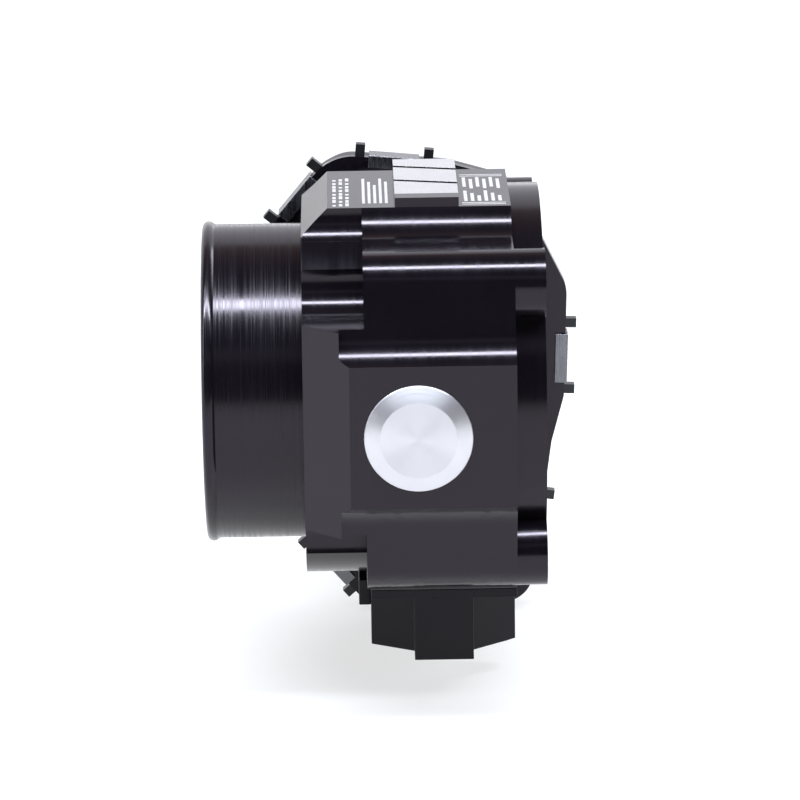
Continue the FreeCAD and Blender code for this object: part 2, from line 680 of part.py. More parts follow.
def gear_face(module, teeth, tooth_at):
    """Full gear outline with the middle of one tooth at the given angle in degrees."""
    pitch = module * teeth / 2
    base, tip, root = pitch * math.cos(PRESSURE_ANGLE), pitch + ADDENDUM * module, pitch - DEDENDUM * module
    half = math.pi / (2 * teeth) - number("backlash") / (2 * pitch)
    low = max(base, root) + 1e-4

    def flank(radius):
        """Half angle of a tooth at a radius, in degrees."""
        return math.degrees(half + involute(PRESSURE_ANGLE) - involute(math.acos(base / radius)))

    radii = [low + (tip - low) * k / 3 for k in range(4)]
    step = 360 / teeth
    edges = []
    for k in range(teeth):
        middle = tooth_at + k * step
        for side in (-1, 1):
            curve = Part.BSplineCurve()
            curve.interpolate([polar(radius, middle + side * flank(radius)) for radius in radii])
            edges.append(curve.toShape())
            foot = middle + side * flank(low)
            edges.append(line(polar(root, foot), polar(low, foot)))
        edges.append(arc(Vector(), tip, middle - flank(tip), middle + flank(tip)))
        edges.append(arc(Vector(), root, middle + flank(low), middle + step - flank(low)))
    return Part.Face(Part.Wire(Part.__sortEdges__(edges)))


def heading(start, end):
    """Angle in degrees from one (x, z) axis to another."""
    return math.degrees(math.atan2(number(end[1]) - number(start[1]), number(end[0]) - number(start[0])))


SHAFT_AXIS, IDLER_AXIS, MOTOR_AXIS = ("shaft_x", "0"), ("idler_x", "idler_z"), ("motor_x", "motor_z")


def wedge_face(radius, first, last):
    """Slice of a disc between two angles."""
    return closed_face([arc(Vector(), radius, first, last), line(Vector(), polar(radius, first)),
                        line(Vector(), polar(radius, last))])


def sector_gear():
    """Moulded sector on the shaft: toothed slice, hub, stop lug and magnet cup."""
    teeth = int(number("sector_teeth"))
    step = 360 / teeth
    mesh = heading(SHAFT_AXIS, IDLER_AXIS)
    full = extruded("sector_full", gear_face(number("slow_module"), teeth, mesh),
                    "sector_start", "sector_end", at=SHAFT_AXIS)
    first, last = mesh - 2.5 * step, mesh + 12.5 * step
    slice_face = wedge_face(40, first, last)
    toothed = common("sector_toothed", full,
                     extruded("sector_slice", slice_face, "sector_start", "sector_end", at=SHAFT_AXIS))
    web_face = wedge_face(23.5, first + 7, last - 7).cut(Part.Face(Part.Wire(Part.makeCircle(11.5))))
    pockets = [extruded(f"sector_pocket_{k}", web_face, start, end, at=SHAFT_AXIS)
               for k, (start, end) in enumerate([("sector_start - 1", "sector_start + 1.5"),
                                                 ("sector_end - 1.5", "sector_end + 1")])]
    lug_face = wedge_face(STOP_RADIUS + 3, STOP_ANGLE - 12, STOP_ANGLE)
    lug = extruded("stop_lug", lug_face, "sector_start", "sector_end", at=SHAFT_AXIS)
    hub = rod("sector_hub", "8.6", "sector_start - 0.5", "sector_end")
    cup = rod("magnet_cup", "7.8", "sector_end - 1", "sector_end + 3.9")
    blank = fuse("sector_blank", cut("sector_webbed", toothed, *pockets), lug, hub, cup)
    node(cut("sector_gear", blank, rod("insert_hole", "7", "sector_start - 1", "shaft_end"),
             rod("magnet_hole", "6", "shaft_end - 0.5", "sector_end + 5")))
    node(ring("sector_insert", "7", "shaft_radius", "sector_start - 0.5", "shaft_end"))
    node(rod("sensor_magnet", "6", "shaft_end", "shaft_end + 3"))


def return_spring():
    """Torsion spring of square wire round its guide sleeve."""
    wire, inside, turns = 0.9, 11.6, 3.4
    rise = number("sector_start") - number("floor_top") - 3 * wire
    helix = Part.makeHelix(rise / turns, rise, inside + wire / 2)
    outside = inside + wire
    corners = [Vector(inside, 0, 0), Vector(outside, 0, 0), Vector(outside, 0, wire), Vector(inside, 0, wire)]
    section = Part.makePolygon(corners + corners[:1])
    coil = doc.addObject("Part::Feature", "return_spring")
    coil.Shape = Part.Wire(helix.Edges).makePipeShell([section], True, True)
    place(coil, ("shaft_x", f"floor_top + {wire / 2}", "0"), TURNS["Y"])
    node(coil)
    node(ring("spring_sleeve", "11.2", "9.5", "floor_top", "sector_start - 0.8"))


def intermediate_gear():
    """Two moulded gears in one, turning on a fixed pin."""
    teeth = int(number("idler_small_teeth"))
    turn = heading(IDLER_AXIS, SHAFT_AXIS) + 180 / teeth
    small = extruded("idler_small", gear_face(number("slow_module"), teeth, turn),
                     "sector_start - 1.5", "large_start + 0.5", at=IDLER_AXIS)
    large = extruded("idler_large", gear_face(number("fast_module"), int(number("idler_large_teeth")),
                                              heading(IDLER_AXIS, MOTOR_AXIS)),
                     "large_start", "large_end", at=IDLER_AXIS)
    pockets = [ring(f"idler_pocket_{k}", "22.4", "11", start, end, at=IDLER_AXIS)
               for k, (start, end) in enumerate([("large_start - 1", "large_start + 1"),
                                                 ("large_end - 1", "large_end + 1")])]
    holes = []
    for k in range(6):
        spot = polar(16.7, 60 * k, Vector(number("idler_x"), number("idler_z"), 0))
        holes.append(rod(f"idler_hole_{k}", "3.2", "large_start - 1", "large_end + 1",
                         at=(str(spot.x), str(spot.y))))
    bore = rod("idler_bore", "idler_pin_radius + running_gap", "sector_start - 3", "large_end + 1",
               at=IDLER_AXIS)
    webbed = cut("idler_webbed", large, *pockets, *holes)
    node(cut("intermediate_gear", fuse("idler_blank", small, webbed), bore))
    node(rod("intermediate_gear_pin", "idler_pin_radius", "slab_back - 2", "large_end + 1.5",
             at=IDLER_AXIS))


# ---------------------------------------------------------------- motor

def motor_ring(name, outer, inner, start, end):
    """Ring on the motor axis."""
    return ring(name, outer, inner, start, end, at=MOTOR_AXIS)


def motor_case():
    """Motor can, its plastic end cap, field magnets and the plate that holds the motor in."""
    can_inside = "can_radius - can_wall"
    node(turned("motor_can", [
        ("can_start", "motor_shaft_radius + 0.4"), ("can_start", "can_radius"), ("can_end", "can_radius"),
        ("can_end", can_inside), ("can_start + can_wall", can_inside),
        ("can_start + can_wall", "motor_shaft_radius + 0.4")], at=MOTOR_AXIS))
    node(turned("motor_end_cap", [
        ("can_end", "motor_shaft_radius + 0.05"), ("can_end", "can_radius"),
        ("can_end + 4", "can_radius"), ("can_end + 4", "6"), ("floor_top", "6"),
        ("floor_top", "motor_shaft_radius + 0.05")], at=MOTOR_AXIS))
    halves = []
    field = motor_ring("field_ring", can_inside, "11.6", "14", "40")
    for k, (first, last) in enumerate([(-68, 68), (112, 248)]):
        slice_body = extruded(f"field_slice_{k}", wedge_face(20, first, last), "13", "41", at=MOTOR_AXIS)
        halves.append(common(f"field_magnet_{k}", field, slice_body))
    node(group("motor_magnets", *halves))
    plate = rod("retainer_disc", "16.5", "floor_top", "floor_top + 1.5", at=MOTOR_AXIS)
    ears = [rod(f"retainer_ear_{k}", "4.5", "floor_top", "floor_top + 1.5", at=retainer_spot(angle))
            for k, angle in enumerate(RETAINER_SCREWS)]
    holes = [rod(f"ear_hole_{k}", "1.7", "floor_top - 1", "floor_top + 3", at=retainer_spot(angle))
             for k, angle in enumerate(RETAINER_SCREWS)]
    eye = rod("retainer_eye", "7", "floor_top - 1", "floor_top + 3", at=MOTOR_AXIS)
    node(cut("motor_retainer", fuse("retainer_blank", plate, *ears), eye, *holes))
    screws = []
    for k, angle in enumerate(RETAINER_SCREWS):
        spot = retainer_spot(angle)
        screws.append(fuse(f"retainer_screw_{k}",
                           rod(f"retainer_shank_{k}", "1.25", "floor_top - 4.5", "floor_top + 2", at=spot),
                           rod(f"retainer_head_{k}", "2.6", "floor_top + 1.5", "floor_top + 3.2", at=spot)))
    node(group("retainer_screws", *screws))


def motor_rotor():
    """Shaft, wound armature, commutator and pinion."""
    node(rod("motor_shaft", "motor_shaft_radius", "can_start + 1.6", "large_end + 0.6", at=MOTOR_AXIS))
    stack = rod("armature_stack", "11.2", "16", "38", at=MOTOR_AXIS)
    hole = rod("armature_hole", "motor_shaft_radius", "15", "39", at=MOTOR_AXIS)
    slots = []
    for k in range(5):
        spot = polar(9.4, 72 * k + 18, Vector(number("motor_x"), number("motor_z"), 0))
        slots.append(rod(f"armature_slot_{k}", "1.9", "15", "39", at=(str(spot.x), str(spot.y))))
    node(cut("motor_armature", stack, hole, *slots))
    node(motor_ring("motor_commutator", "3.6", "motor_shaft_radius", "40.5", "46"))
    teeth = int(number("pinion_teeth"))
    blank = extruded("pinion_blank",
                     gear_face(number("fast_module"), teeth, heading(MOTOR_AXIS, IDLER_AXIS) + 180 / teeth),
                     "large_start - 0.5", "large_end + 0.5", at=MOTOR_AXIS)
    node(cut("motor_pinion", blank, rod("pinion_bore", "motor_shaft_radius", "large_start - 2",
                                        "large_end + 2", at=MOTOR_AXIS)))


def motor_brushes():
    """Two carbon brushes that ride on the commutator."""
    blocks = [block(f"brush_{k}", (f"motor_x + ({low})", "41.5", "motor_z - 1.6"),
                    (f"motor_x + ({high})", "45", "motor_z + 1.6"))
              for k, (low, high) in enumerate([("3.8", "9.5"), ("-9.5", "-3.8")])]
    node(group("motor_brushes", *blocks))


# ---------------------------------------------------------------- cover

def rim_frames():
    """For each clip: its middle on the rim, the outward direction and the direction along it."""
    frames = []
    for side, share in CLIP_PLACES:
        first = Vector(*CASE_CORNERS[side], 0)
        last = Vector(*CASE_CORNERS[(side + 1) % len(CASE_CORNERS)], 0)
        run = (last - first)
        middle = first + run * share
        outward = Vector(-run.y, run.x, 0).normalize()
        frames.append((middle, outward))
    return frames


def rim_box(name, frame, out, width, shift, start, end):
    """Box on the rim: from out[0] to out[1] outwards, width along it, start to end in y."""
    middle, outward = frame
    item = doc.addObject("Part::Box", name)
    item.Length = out[1] - out[0]
    item.Width = number(end) - number(start)
    item.Height = width
    turn = Rotation(ALONG, -math.degrees(math.atan2(outward.y, outward.x)))
    corner = turn.multVec(Vector(out[0], 0, shift - width / 2))
    item.Placement = Placement(Vector(middle.x, number(start), middle.y) + corner, turn)
    return item


CLIP_WIDTH, NIB_WIDTH, NIB_SPREAD = 14, 2.6, 9.5


def gear_cover():
    """Moulded cover: clipped rim with nibs, beveled dome and two board pillars."""
    wall = number("rim_width")
    inside = wall + number("cover_wall")
    rim = extruded("cover_rim", case_face(), "floor_top", "floor_top + rim_thickness")
    dome = extruded("cover_dome", case_face(wall), "floor_top", "cover_end - cover_bevel")
    top = extruded("cover_top", case_face(wall), "cover_end - cover_bevel", "cover_face", taper=-45)
    nibs = []
    for k, frame in enumerate(rim_frames()):
        for shift in (-NIB_SPREAD, NIB_SPREAD):
            nibs.append(rim_box(f"nib_{k}_{shift > 0}", frame, (-1, 3), NIB_WIDTH, shift,
                                "floor_top", "floor_top + rim_thickness"))
    hollow = extruded("cover_hollow", case_face(inside), "floor_top - 1", "cover_end - cover_bevel")
    hollow_top = extruded("cover_hollow_top", case_face(inside), "cover_end - cover_bevel - 0.01",
                          "cover_face - cover_wall", taper=-45)
    shell = cut("cover_shell", fuse("cover_blank", rim, dome, top, *nibs), hollow, hollow_top)
    pillars = [rod(f"board_pillar_{k}", "2.6", "74.2", "cover_face - 1", at=(x, "0"))
               for k, x in enumerate(("-47", "-20"))]
    node(fuse("gear_cover", shell, *pillars, *cover_ribs()))


def cover_ribs():
    """Raised rings over the throttle shaft and the motor, tied together by straight ribs."""
    rings = [ring(f"cover_ring_{k}", radius, f"{radius} - rib_width", "cover_face - 0.5", "cover_end", at=at)
             for k, (radius, at) in enumerate([("20", ("shaft_x", "0")), ("13", ("motor_x", "motor_z"))])]
    ribs = [block(f"cover_rib_{k}", (f"{x} - rib_width / 2", "cover_face - 0.5", low),
                  (f"{x} + rib_width / 2", "cover_end", high))
            for k, (x, low, high) in enumerate([("-46", "-60", "-14"), ("-36", "-52", "-19"),
                                                ("-22", "-45", "-15")])]
    return rings + ribs


def cover_clips():
    """Spring steel clips, each folded over the rims of the case and of the cover."""
    clips = []
    for k, frame in enumerate(rim_frames()):
        outer = rim_box(f"clip_outer_{k}", frame, (-2.8, 0.7), CLIP_WIDTH, 0, "floor_back - 0.8",
                        "floor_top + rim_thickness + 0.8")
        inner = rim_box(f"clip_inner_{k}", frame, (-4, 0), CLIP_WIDTH + 2, 0, "floor_back",
                        "floor_top + rim_thickness")
        clips.append(cut(f"clip_{k}", outer, inner))
    node(group("cover_clips", *clips))


def sensor():
    """Position sensor: board on the cover's pillars and two chips over the magnet."""
    node(block("sensor_board", ("-51", "72.6", "-13"), ("-16", "74.2", "13")))
    chips = [block(f"chip_{k}", (f"shaft_x + ({low})", "71.4", "-2.5"),
                   (f"shaft_x + ({low}) + 5", "72.6", "2.5")) for k, low in enumerate(("-6", "1"))]
    node(group("sensor_chips", *chips))


# ---------------------------------------------------------------- connector

# x, y corners of the connector, seen from above
CONNECTOR_CORNERS = [("-46", "3.5"), ("-46", "-5"), ("-34.5", "-12"), ("-34.5", "-20"),
                     ("-18.7", "-20"), ("-18.7", "-12"), ("-7", "-2"), ("-7", "3.5")]

COLLAR_CORNERS = [("-46", "3.5"), ("-46", "-20.6"), ("-7", "-20.6"), ("-7", "3.5")]


def connector():
    """Six-way connector below the block, with its gasket, blades, screws and lead frame."""
    socket = padded("connector_socket", CONNECTOR_CORNERS, "connector_bottom", "connector_top", "Z")
    collar = padded("connector_collar", COLLAR_CORNERS, "collar_bottom", "connector_top", "Z")
    shell = fuse("connector_blank", socket, collar)
    mouth = block("connector_mouth", ("-32.8", "-18.2", "connector_bottom - 1"),
                  ("-20.4", "1.2", "connector_top - 4"))
    screw_rooms = [rod(f"screw_room_{k}", "3.6", "connector_bottom - 1", "connector_top - 4", "Z", at)
                   for k, at in enumerate(CONNECTOR_SCREWS)]
    screw_holes = [rod(f"screw_way_{k}", "1.8", "connector_bottom - 1", "connector_top + 1", "Z", at)
                   for k, at in enumerate(CONNECTOR_SCREWS)]
    spots = [(x, y) for x in (-30.6, -26.6, -22.6) for y in (-13, -5)]
    blades = [block(f"blade_{k}", (f"{x} - pin_width / 2", f"{y} - pin_width", "connector_bottom + 5.5"),
                    (f"{x} + pin_width / 2", f"{y} + pin_width", "connector_top - 1"))
              for k, (x, y) in enumerate(spots)]
    blade_holes = [block(f"blade_hole_{k}", (f"{x} - pin_width / 2", f"{y} - pin_width", "connector_bottom"),
                         (f"{x} + pin_width / 2", f"{y} + pin_width", "connector_top - 1"))
                   for k, (x, y) in enumerate(spots)]
    node(cut("connector_housing", shell, mouth, *screw_rooms, *screw_holes, *blade_holes))
    node(group("connector_pins", *blades))
    sheet = padded("connector_gasket_blank", COLLAR_CORNERS, "connector_top", "-ridge_top", "Z")
    gasket_holes = [rod(f"gasket_hole_{k}", "1.8", "connector_top - 1", "-ridge_top + 1", "Z", at)
                    for k, at in enumerate(CONNECTOR_SCREWS)]
    node(cut("connector_gasket", sheet, *gasket_holes))
    screws = [fuse(f"connector_screw_{k}",
                   rod(f"connector_shank_{k}", "1.6", "connector_top - 5", "-43", "Z", at),
                   rod(f"connector_head_{k}", "3.1", "connector_top - 6.5", "connector_top - 4", "Z", at))
              for k, at in enumerate(CONNECTOR_SCREWS)]
    node(group("connector_screws", *screws))
    node(block("lead_frame", ("-49.2", "-1", "-63.2"), ("-46", "floor_top + 4", "-56")))


def stop_screw():
    """Closed stop of the sector, in its post."""
    bar = stop_bar("stop_screw", 1.5, STOP_GAP, 11)
    node(bar)


def check(items):
    """Stop if any object failed or any sub-part isn't sound."""
    bad = [item.Name for item in doc.Objects if {"Invalid", "Error"} & set(item.State)]
    if bad:
        raise RuntimeError(f"failed objects: {bad}")
    for item in items:
        if item.Shape.isNull() or not item.Shape.isValid() or not item.Shape.Solids:
            raise RuntimeError(f"unsound sub-part: {item.Label}")


def main():
    """Build every sub-part and write one file for each."""
    fill_sheet()
    throttle_housing()
    pad_inlay_strips()
    shaft_end_plug()
    flange_o_ring()
    cover_gasket()
    for side, start in (("front", "near_bearing"), ("rear", "far_bearing")):
        bearing(side, start)
    shaft_seal("front", "near_bearing + bearing_width + seal_gap")
    shaft_seal("rear", "far_bearing - seal_gap - seal_width")
    throttle_shaft()
    throttle_plate()
    plate_screws()
    sector_gear()
    return_spring()
    intermediate_gear()
    motor_case()
    motor_rotor()
    motor_brushes()
    gear_cover()
    cover_clips()
    sensor()
    connector()
    stop_screw()
    doc.recompute()
    check(nodes)
    os.makedirs("parts", exist_ok=True)
    for item in nodes:
        item.Shape.exportStep(f"parts/{item.Label}.step")
        print(item.Label, len(item.Shape.Solids), round(item.Shape.Volume, 1))


main()
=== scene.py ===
"""Looks of the electronic throttle body: machined, moulded and drawn surfaces, light and camera."""
import json
import math

import bmesh
import bpy
from mathutils import Matrix, Vector


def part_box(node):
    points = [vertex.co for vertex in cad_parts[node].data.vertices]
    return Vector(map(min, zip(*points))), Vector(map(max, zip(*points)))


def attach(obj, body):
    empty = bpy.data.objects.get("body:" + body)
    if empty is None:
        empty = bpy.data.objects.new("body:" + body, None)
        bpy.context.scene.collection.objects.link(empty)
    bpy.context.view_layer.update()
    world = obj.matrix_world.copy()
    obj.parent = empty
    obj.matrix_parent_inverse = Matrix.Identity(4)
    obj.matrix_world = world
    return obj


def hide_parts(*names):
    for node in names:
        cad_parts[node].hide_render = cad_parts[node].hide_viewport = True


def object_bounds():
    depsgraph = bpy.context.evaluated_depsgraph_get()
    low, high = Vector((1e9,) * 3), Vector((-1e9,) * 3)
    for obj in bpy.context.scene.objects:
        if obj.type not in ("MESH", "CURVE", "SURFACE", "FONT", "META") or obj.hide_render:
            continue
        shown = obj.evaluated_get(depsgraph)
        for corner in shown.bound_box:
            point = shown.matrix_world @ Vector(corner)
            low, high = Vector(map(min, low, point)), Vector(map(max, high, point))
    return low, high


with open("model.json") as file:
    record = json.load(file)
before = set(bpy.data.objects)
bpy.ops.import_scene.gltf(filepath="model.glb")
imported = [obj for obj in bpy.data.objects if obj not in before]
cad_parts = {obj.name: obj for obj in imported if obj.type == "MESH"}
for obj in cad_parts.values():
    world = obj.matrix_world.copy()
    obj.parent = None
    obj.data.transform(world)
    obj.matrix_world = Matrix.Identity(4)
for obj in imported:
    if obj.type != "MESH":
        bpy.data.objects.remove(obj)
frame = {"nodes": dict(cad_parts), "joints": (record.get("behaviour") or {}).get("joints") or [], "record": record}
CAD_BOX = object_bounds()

MM = 0.001
NODES = frame["nodes"]
BODY_OF = {name: body for body, names in frame["record"]["behaviour"]["bodies"].items() for name in names}
SLOT_OF = {row["node"]: row["material_slot"] for row in frame["record"]["subparts"]}
SHAFT_X = frame["joints"][0]["pos_m"][0]


# ---------------------------------------------------------------- shader helpers

class Nodes:
    """A node tree under construction."""

    def __init__(self, tree):
        self.tree = tree

    def add(self, kind, settings=None, **inputs):
        """New node; an input takes a constant or another node's output."""
        made = self.tree.nodes.new("ShaderNode" + kind)
        for name, value in (settings or {}).items():
            setattr(made, name, value)
        for name, value in inputs.items():
            socket = made.inputs[int(name[1:]) if name[1:].isdigit() else name.replace("_", " ")]
            if isinstance(value, bpy.types.NodeSocket):
                self.tree.links.new(value, socket)
            else:
                socket.default_value = value
        return made

    def math(self, operation, first, second=0.0):
        """Result of one arithmetic step."""
        return self.add("Math", {"operation": operation}, i0=first, i1=second).outputs[0]


class Shader(Nodes):
    """A material under construction: a Principled shader and the nodes that feed it."""

    def __init__(self, name, **constants):
        self.material = bpy.data.materials.new(name)
        self.material.use_nodes = True
        super().__init__(self.material.node_tree)
        self.surface = self.tree.nodes["Principled BSDF"]
        for label, value in constants.items():
            self.surface.inputs[label.replace("_", " ")].default_value = value

    def feed(self, label, output):
        """Link an output to a socket of the Principled shader."""
        self.tree.links.new(output, self.surface.inputs[label])

    def place(self, stretch=(1, 1, 1), shift=(0, 0, 0)):
        """Row-frame position in metres, shifted and then stretched."""
        spot = self.add("TexCoord").outputs["Object"]
        moved = self.add("VectorMath", {"operation": "SUBTRACT"}, i0=spot, i1=shift)
        return self.add("VectorMath", {"operation": "MULTIPLY"}, i0=moved.outputs[0],
                        i1=stretch).outputs[0]

    def noise(self, spot, scale, detail=2.0, roughness=0.5):
        """Noise value at a position."""
        return self.add("TexNoise", Vector=spot, Scale=scale, Detail=detail,
                        Roughness=roughness).outputs["Fac"]

    def spread(self, value, low, high, start=0.3, end=0.7):
        """Value between start and end mapped to low..high."""
        return self.add("MapRange", Value=value, From_Min=start, From_Max=end, To_Min=low,
                        To_Max=high).outputs[0]

    def tint(self, value, low, high):
        """Colour between low and high by a value."""
        mixed = self.add("Mix", {"data_type": "RGBA"}, Factor=value)
        mixed.inputs[6].default_value = (*low, 1)
        mixed.inputs[7].default_value = (*high, 1)
        return mixed.outputs[2]

    def blend(self, share, first, second):
        """Value between two others by a share."""
        mixed = self.add("Mix", Factor=share)
        self.tree.links.new(first, mixed.inputs[2])
        self.tree.links.new(second, mixed.inputs[3])
        return mixed.outputs[0]

    def bump(self, height, depth, strength=1.0, under=None):
        """Bump of a height in metres, laid over another bump if one is given."""
        made = self.add("Bump", Height=height, Distance=depth, Strength=strength)
        if under is not None:
            self.tree.links.new(under, made.inputs["Normal"])
        return made.outputs["Normal"]

    def radius_from(self, centre, axis):
        """Distance from a line through centre along a row axis."""
        keep = [0 if k == axis else 1 for k in range(3)]
        return self.add("VectorMath", {"operation": "LENGTH"},
                        i0=self.place(keep, centre)).outputs["Value"]


# ---------------------------------------------------------------- materials

def anodised():
    """Black anodised aluminium: turning marks on the spigot, milling marks on the block."""
    made = Shader("black_anodised_look", Base_Color=(0.0025, 0.002, 0.003, 1), Roughness=0.2, IOR=1.4,
                  Specular_Tint=(1, 0.9, 1, 1))
    spigot_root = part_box("throttle_housing")[0].x + 26.6 * MM
    spot = made.place()
    across = made.add("SeparateXYZ", Vector=spot).outputs["X"]
    turning = made.noise(made.place((1, 0.008, 0.008)), 2400, 4, 0.8)
    milling = made.noise(made.place((0.05, 1, 1)), 1500, 2, 0.6)
    passes = made.noise(made.place((0.02, 1, 1)), 260, 1, 0.5)
    on_block = made.spread(across, 0, 1, spigot_root, spigot_root + 0.2 * MM)
    marks = made.blend(on_block, turning, made.math("ADD", milling, passes))
    under = made.bump(marks, 0.0016 * MM, 0.8)
    made.feed("Normal", made.bump(made.noise(spot, 9000, 2), 0.0004 * MM, 0.5, under))
    smears = made.noise(spot, 55, 4, 0.6)
    chatter = made.noise(made.place((1, 0.04, 0.04)), 900, 4, 0.75)
    cut_face = made.math("ADD", made.spread(smears, 0.14, 0.175), made.spread(chatter, -0.03, 0.05))
    made.feed("Roughness", made.blend(on_block, made.spread(turning, 0.1, 0.3, 0.36, 0.64), cut_face))
    made.feed("Base Color", made.tint(smears, (0.002, 0.0016, 0.0025), (0.004, 0.003, 0.005)))
    return made.material


def turned_metal(name, colour, rough, centre, axis, pitch):
    """Bright metal with concentric turning marks about a line along a row axis."""
    made = Shader(name, Base_Color=(*colour, 1), Metallic=1.0, Roughness=rough, Anisotropic=0.7,
                  Anisotropic_Rotation=0.25)
    radius = made.radius_from(centre, axis)
    rings = made.add("TexNoise", {"noise_dimensions": "1D"}, W=radius, Scale=1 / pitch, Detail=3.0,
                     Roughness=0.7).outputs["Fac"]
    made.feed("Normal", made.bump(rings, 0.002 * MM, 0.5))
    smears = made.noise(made.place(), 120, 3)
    made.feed("Roughness", made.math("ADD", made.spread(rings, rough - 0.08, rough + 0.1),
                                     made.spread(smears, -0.03, 0.04)))
    made.feed("Base Color", made.tint(rings, [0.86 * value for value in colour], colour))
    tangent = made.add("Tangent", {"direction_type": "RADIAL", "axis": "XYZ"[axis]})
    made.feed("Tangent", tangent.outputs[0])
    return made.material


def ground_metal(name, colour, rough, stretch, scale=2500):
    """Ground or drawn metal with straight fine scratches along the axis of least stretch."""
    made = Shader(name, Base_Color=(*colour, 1), Metallic=1.0, Roughness=rough)
    lines = made.noise(made.place(stretch), scale, 3, 0.6)
    smears = made.noise(made.place(), 180, 3)
    made.feed("Normal", made.bump(lines, 0.0012 * MM, 0.5))
    made.feed("Roughness", made.math("ADD", made.spread(lines, rough - 0.06, rough + 0.08),
                                     made.spread(smears, -0.04, 0.05)))
    made.feed("Base Color", made.tint(smears, [0.82 * value for value in colour], colour))
    return made.material


def moulded(name, dark, light, rough, grain=0.35, depth=0.012, shine=0.5):
    """Moulded plastic with an eroded grain, faint flow marks and handling polish."""
    made = Shader(name, Base_Color=(*dark, 1), Roughness=rough, Specular_IOR_Level=shine)
    spot = made.place()
    texture = made.noise(spot, 1 / (grain * MM), 3, 0.6)
    flow = made.noise(made.place((0.4, 1, 0.6)), 45, 4, 0.55)
    made.feed("Normal", made.bump(texture, depth * MM, 0.8))
    made.feed("Roughness", made.math("ADD", made.spread(flow, rough - 0.06, rough + 0.08),
                                     made.spread(texture, -0.03, 0.03)))
    made.feed("Base Color", made.tint(flow, dark, light))
    return made.material


def rubber():
    """Moulded rubber with a dusty bloom."""
    made = Shader("rubber_look", Base_Color=(0.012, 0.012, 0.012, 1), Roughness=0.6, Sheen_Weight=0.15)
    spot = made.place()
    bloom = made.noise(spot, 300, 5, 0.65)
    made.feed("Normal", made.bump(made.noise(spot, 2600, 2), 0.01 * MM, 0.6))
    made.feed("Base Color", made.tint(bloom, (0.008, 0.008, 0.008), (0.028, 0.028, 0.028)))
    made.feed("Roughness", made.spread(bloom, 0.5, 0.75))
    return made.material


def sintered():
    """Sintered magnet: fine pores and a dull grey."""
    made = Shader("sintered_look", Base_Color=(0.05, 0.05, 0.055, 1), Roughness=0.5, Metallic=0.4)
    pores = made.add("TexVoronoi", Vector=made.place(), Scale=3500).outputs["Distance"]
    made.feed("Normal", made.bump(pores, 0.01 * MM, 0.6))
    made.feed("Base Color", made.tint(pores, (0.03, 0.03, 0.034), (0.09, 0.09, 0.095)))
    return made.material


def laminated():
    """Stack of stamped steel sheets, seen edge-on."""
    made = Shader("laminated_look", Base_Color=(0.3, 0.3, 0.31, 1), Roughness=0.4, Metallic=1.0)
    depth = made.add("SeparateXYZ", Vector=made.place()).outputs["Y"]
    sheets = made.math("PINGPONG", made.math("MULTIPLY", depth, 1 / (0.5 * MM)), 0.5)
    made.feed("Normal", made.bump(sheets, 0.06 * MM, 0.8))
    made.feed("Base Color", made.tint(sheets, (0.12, 0.12, 0.125), (0.42, 0.42, 0.43)))
    return made.material


def circuit_board():
    """Solder mask over copper tracks."""
    made = Shader("board_look", Base_Color=(0.01, 0.07, 0.03, 1), Roughness=0.32, Coat_Weight=0.3)
    tracks = made.add("TexBrick", Vector=made.place(), Scale=420.0, Mortar_Size=0.08).outputs["Fac"]
    made.feed("Normal", made.bump(tracks, 0.03 * MM, 0.6))
    made.feed("Base Color", made.tint(tracks, (0.008, 0.06, 0.026), (0.02, 0.13, 0.05)))
    return made.material


def all_materials():
    """Look of each material slot."""
    shaft = (SHAFT_X, 0, 0)
    motor = Vector(frame["joints"][2]["pos_m"])
    return {
        "black_anodised": anodised(),
        "bright_aluminium": turned_metal("bright_turned_look", (0.7, 0.69, 0.725), 0.38, shaft, 1, 0.22 * MM),
        "plate_aluminium": ground_metal("plate_look", (0.72, 0.72, 0.73), 0.3, (1, 1, 0.03)),
        "bearing_steel": turned_metal("bearing_look", (0.7, 0.7, 0.72), 0.12, shaft, 1, 0.1 * MM),
        "shaft_steel": ground_metal("shaft_look", (0.6, 0.6, 0.62), 0.22, (0.03, 1, 0.03), 4000),
        "fastener_steel": ground_metal("fastener_look", (0.55, 0.54, 0.5), 0.3, (1, 1, 1), 1200),
        "spring_steel": ground_metal("spring_look", (0.66, 0.66, 0.68), 0.2, (1, 0.05, 1)),
        "slat_aluminium": ground_metal("slat_look", (0.74, 0.74, 0.76), 0.24, (1, 0.04, 1)),
        "clip_steel": ground_metal("clip_look", (0.19, 0.19, 0.205), 0.26, (1, 1, 0.05)),
        "laser_mark": ground_metal("laser_mark_look", (0.9, 0.9, 0.91), 0.4, (1, 1, 1)),
        "motor_steel": turned_metal("motor_look", (0.5, 0.5, 0.52), 0.3, motor, 1, 0.3 * MM),
        "lamination_steel": laminated(),
        "magnet": sintered(),
        "copper": turned_metal("copper_look", (0.72, 0.4, 0.24), 0.25, motor, 1, 0.1 * MM),
        "contact_brass": ground_metal("brass_look", (0.78, 0.64, 0.34), 0.25, (1, 1, 0.05)),
        "seal_rubber": rubber(),
        "gasket_rubber": moulded("gasket_look", (0.02, 0.02, 0.022), (0.045, 0.045, 0.048), 0.6),
        "cover_plastic": moulded("cover_look", (0.004, 0.004, 0.0045), (0.009, 0.009, 0.01), 0.38, 0.3,
                                 0.008),
        "connector_plastic": moulded("connector_look", (0.0036, 0.002, 0.0042), (0.007, 0.0045, 0.0085), 0.34,
                                     0.22, 0.004, 0.18),
        "gear_plastic": moulded("gear_look", (0.62, 0.6, 0.52), (0.78, 0.76, 0.69), 0.38, 0.5, 0.004),
        "board": circuit_board(),
        "chip": moulded("chip_look", (0.012, 0.012, 0.012), (0.03, 0.03, 0.03), 0.5, 0.15),
        "carbon": sintered(),
    }


